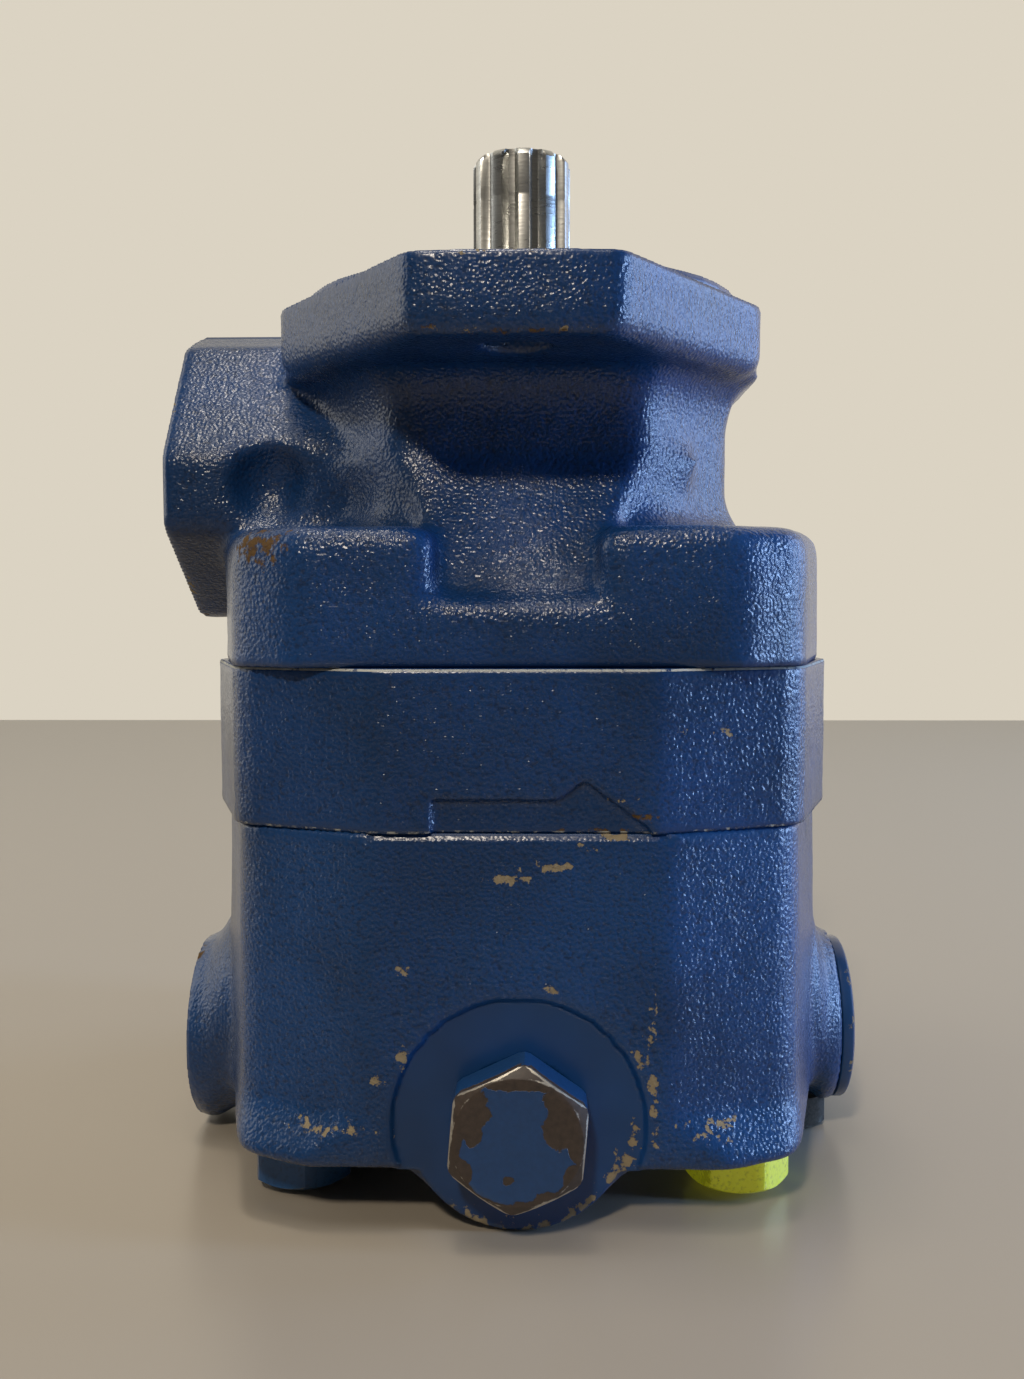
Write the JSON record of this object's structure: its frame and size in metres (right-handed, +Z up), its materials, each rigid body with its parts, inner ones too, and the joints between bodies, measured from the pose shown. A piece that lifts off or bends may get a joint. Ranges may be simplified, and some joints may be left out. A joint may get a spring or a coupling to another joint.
{
  "type": "hydraulic vane pump",
  "caption": "Balanced hydraulic vane pump with a splined drive shaft, a two-bolt mounting flange, side ports and a flow control valve, standing on its outlet cover.",
  "frame": {"origin": "centre of the footprint on the surface that the pump stands on, under the shaft axis", "axes": "+Z up along the shaft axis, +Y along the long way of the mounting flange, towards the back, -X out of the inlet port"},
  "size_m": [0.1248, 0.1305, 0.1852],
  "materials": {
    "blue_paint": "gloss enamel over cast iron",
    "ground_steel": "ground",
    "dark_steel": "oiled",
    "bronze": "machined",
    "brass": "machined",
    "rubber": "satin"
  },
  "bodies": {
    "housing": {"pump_body": "blue_paint", "cam_ring": "blue_paint", "outlet_cover": "blue_paint", "pressure_plate": "bronze", "pressure_plate_spring": "dark_steel", "plate_hub_seal": "rubber", "body_ring_seal": "rubber", "ring_cover_seal": "rubber", "locating_pin_1": "ground_steel", "locating_pin_2": "ground_steel", "bearing_outer_race": "ground_steel", "bearing_retaining_ring": "dark_steel", "shaft_seal_case": "ground_steel", "shaft_seal_lip": "rubber", "seal_garter_spring": "ground_steel", "shaft_bush": "bronze", "cover_bolt_front_left": "blue_paint", "cover_bolt_front_right": "blue_paint", "cover_bolt_rear_left": "blue_paint", "cover_bolt_rear_right": "blue_paint", "flow_valve_plug": "blue_paint", "valve_plug_o_ring": "rubber", "flow_control_spring": "dark_steel", "side_port_plug": "blue_paint", "lower_port_plug": "dark_steel"},
    "rotating_group": {"drive_shaft": "ground_steel", "rotor": "ground_steel", "bearing_inner_race": "ground_steel", "shaft_retaining_ring": "dark_steel"},
    "ball_set": {"bearing_cage": "brass", "bearing_ball_1": "ground_steel", "bearing_ball_2": "ground_steel", "bearing_ball_3": "ground_steel", "bearing_ball_4": "ground_steel", "bearing_ball_5": "ground_steel", "bearing_ball_6": "ground_steel", "bearing_ball_7": "ground_steel", "bearing_ball_8": "ground_steel"},
    "vane_body_01": {"vane_01": "dark_steel"},
    "vane_body_02": {"vane_02": "dark_steel"},
    "vane_body_03": {"vane_03": "dark_steel"},
    "vane_body_04": {"vane_04": "dark_steel"},
    "vane_body_05": {"vane_05": "dark_steel"},
    "vane_body_06": {"vane_06": "dark_steel"},
    "vane_body_07": {"vane_07": "dark_steel"},
    "vane_body_08": {"vane_08": "dark_steel"},
    "vane_body_09": {"vane_09": "dark_steel"},
    "vane_body_10": {"vane_10": "dark_steel"},
    "vane_body_11": {"vane_11": "dark_steel"},
    "vane_body_12": {"vane_12": "dark_steel"},
    "control_spool": {"flow_control_spool": "ground_steel", "relief_spring": "dark_steel", "relief_spring_retainer": "ground_steel"},
    "relief_cone": {"relief_poppet": "ground_steel"}
  },
  "joints": [
    {"name": "shaft_spin", "type": "hinge", "parent": "housing", "child": "rotating_group", "pos_m": [0, 0, 0.077], "axis": [0, 0, 1], "continuous": true},
    {"name": "cage_spin", "type": "hinge", "parent": "housing", "child": "ball_set", "pos_m": [0, 0, 0.1454], "axis": [0, 0, 1], "continuous": true},
    {"name": "vane_slide_01", "type": "slide", "parent": "rotating_group", "child": "vane_body_01", "axis": [0.9659, 0.2588, 0], "range_m": [-0.0005, 0.00024]},
    {"name": "vane_slide_02", "type": "slide", "parent": "rotating_group", "child": "vane_body_02", "axis": [0.7071, 0.7071, 0], "range_m": [-0.0005, 0.0019]},
    {"name": "vane_slide_03", "type": "slide", "parent": "rotating_group", "child": "vane_body_03", "axis": [0.2588, 0.9659, 0], "range_m": [-0.0005, 0.00355]},
    {"name": "vane_slide_04", "type": "slide", "parent": "rotating_group", "child": "vane_body_04", "axis": [-0.2588, 0.9659, 0], "range_m": [-0.0005, 0.00355]},
    {"name": "vane_slide_05", "type": "slide", "parent": "rotating_group", "child": "vane_body_05", "axis": [-0.7071, 0.7071, 0], "range_m": [-0.0005, 0.0019]},
    {"name": "vane_slide_06", "type": "slide", "parent": "rotating_group", "child": "vane_body_06", "axis": [-0.9659, 0.2588, 0], "range_m": [-0.0005, 0.00024]},
    {"name": "vane_slide_07", "type": "slide", "parent": "rotating_group", "child": "vane_body_07", "axis": [-0.9659, -0.2588, 0], "range_m": [-0.0005, 0.00024]},
    {"name": "vane_slide_08", "type": "slide", "parent": "rotating_group", "child": "vane_body_08", "axis": [-0.7071, -0.7071, 0], "range_m": [-0.0005, 0.0019]},
    {"name": "vane_slide_09", "type": "slide", "parent": "rotating_group", "child": "vane_body_09", "axis": [-0.2588, -0.9659, 0], "range_m": [-0.0005, 0.00355]},
    {"name": "vane_slide_10", "type": "slide", "parent": "rotating_group", "child": "vane_body_10", "axis": [0.2588, -0.9659, 0], "range_m": [-0.0005, 0.00355]},
    {"name": "vane_slide_11", "type": "slide", "parent": "rotating_group", "child": "vane_body_11", "axis": [0.7071, -0.7071, 0], "range_m": [-0.0005, 0.0019]},
    {"name": "vane_slide_12", "type": "slide", "parent": "rotating_group", "child": "vane_body_12", "axis": [0.9659, -0.2588, 0], "range_m": [-0.0005, 0.00024]},
    {"name": "spool_slide", "type": "slide", "parent": "housing", "child": "control_spool", "axis": [0, 1, 0], "range_m": [0, 0.008], "stiffness_N_per_m": 1500, "springref_m": -0.008, "deforming": ["flow_control_spring"]},
    {"name": "relief_slide", "type": "slide", "parent": "control_spool", "child": "relief_cone", "axis": [0, 1, 0], "range_m": [0, 0.002], "stiffness_N_per_m": 1000, "springref_m": -0.003, "deforming": ["relief_spring"]}
  ],
  "couplings": [
    {"joint": "cage_spin", "follows": "shaft_spin", "ratio": 0.397}
  ]
}
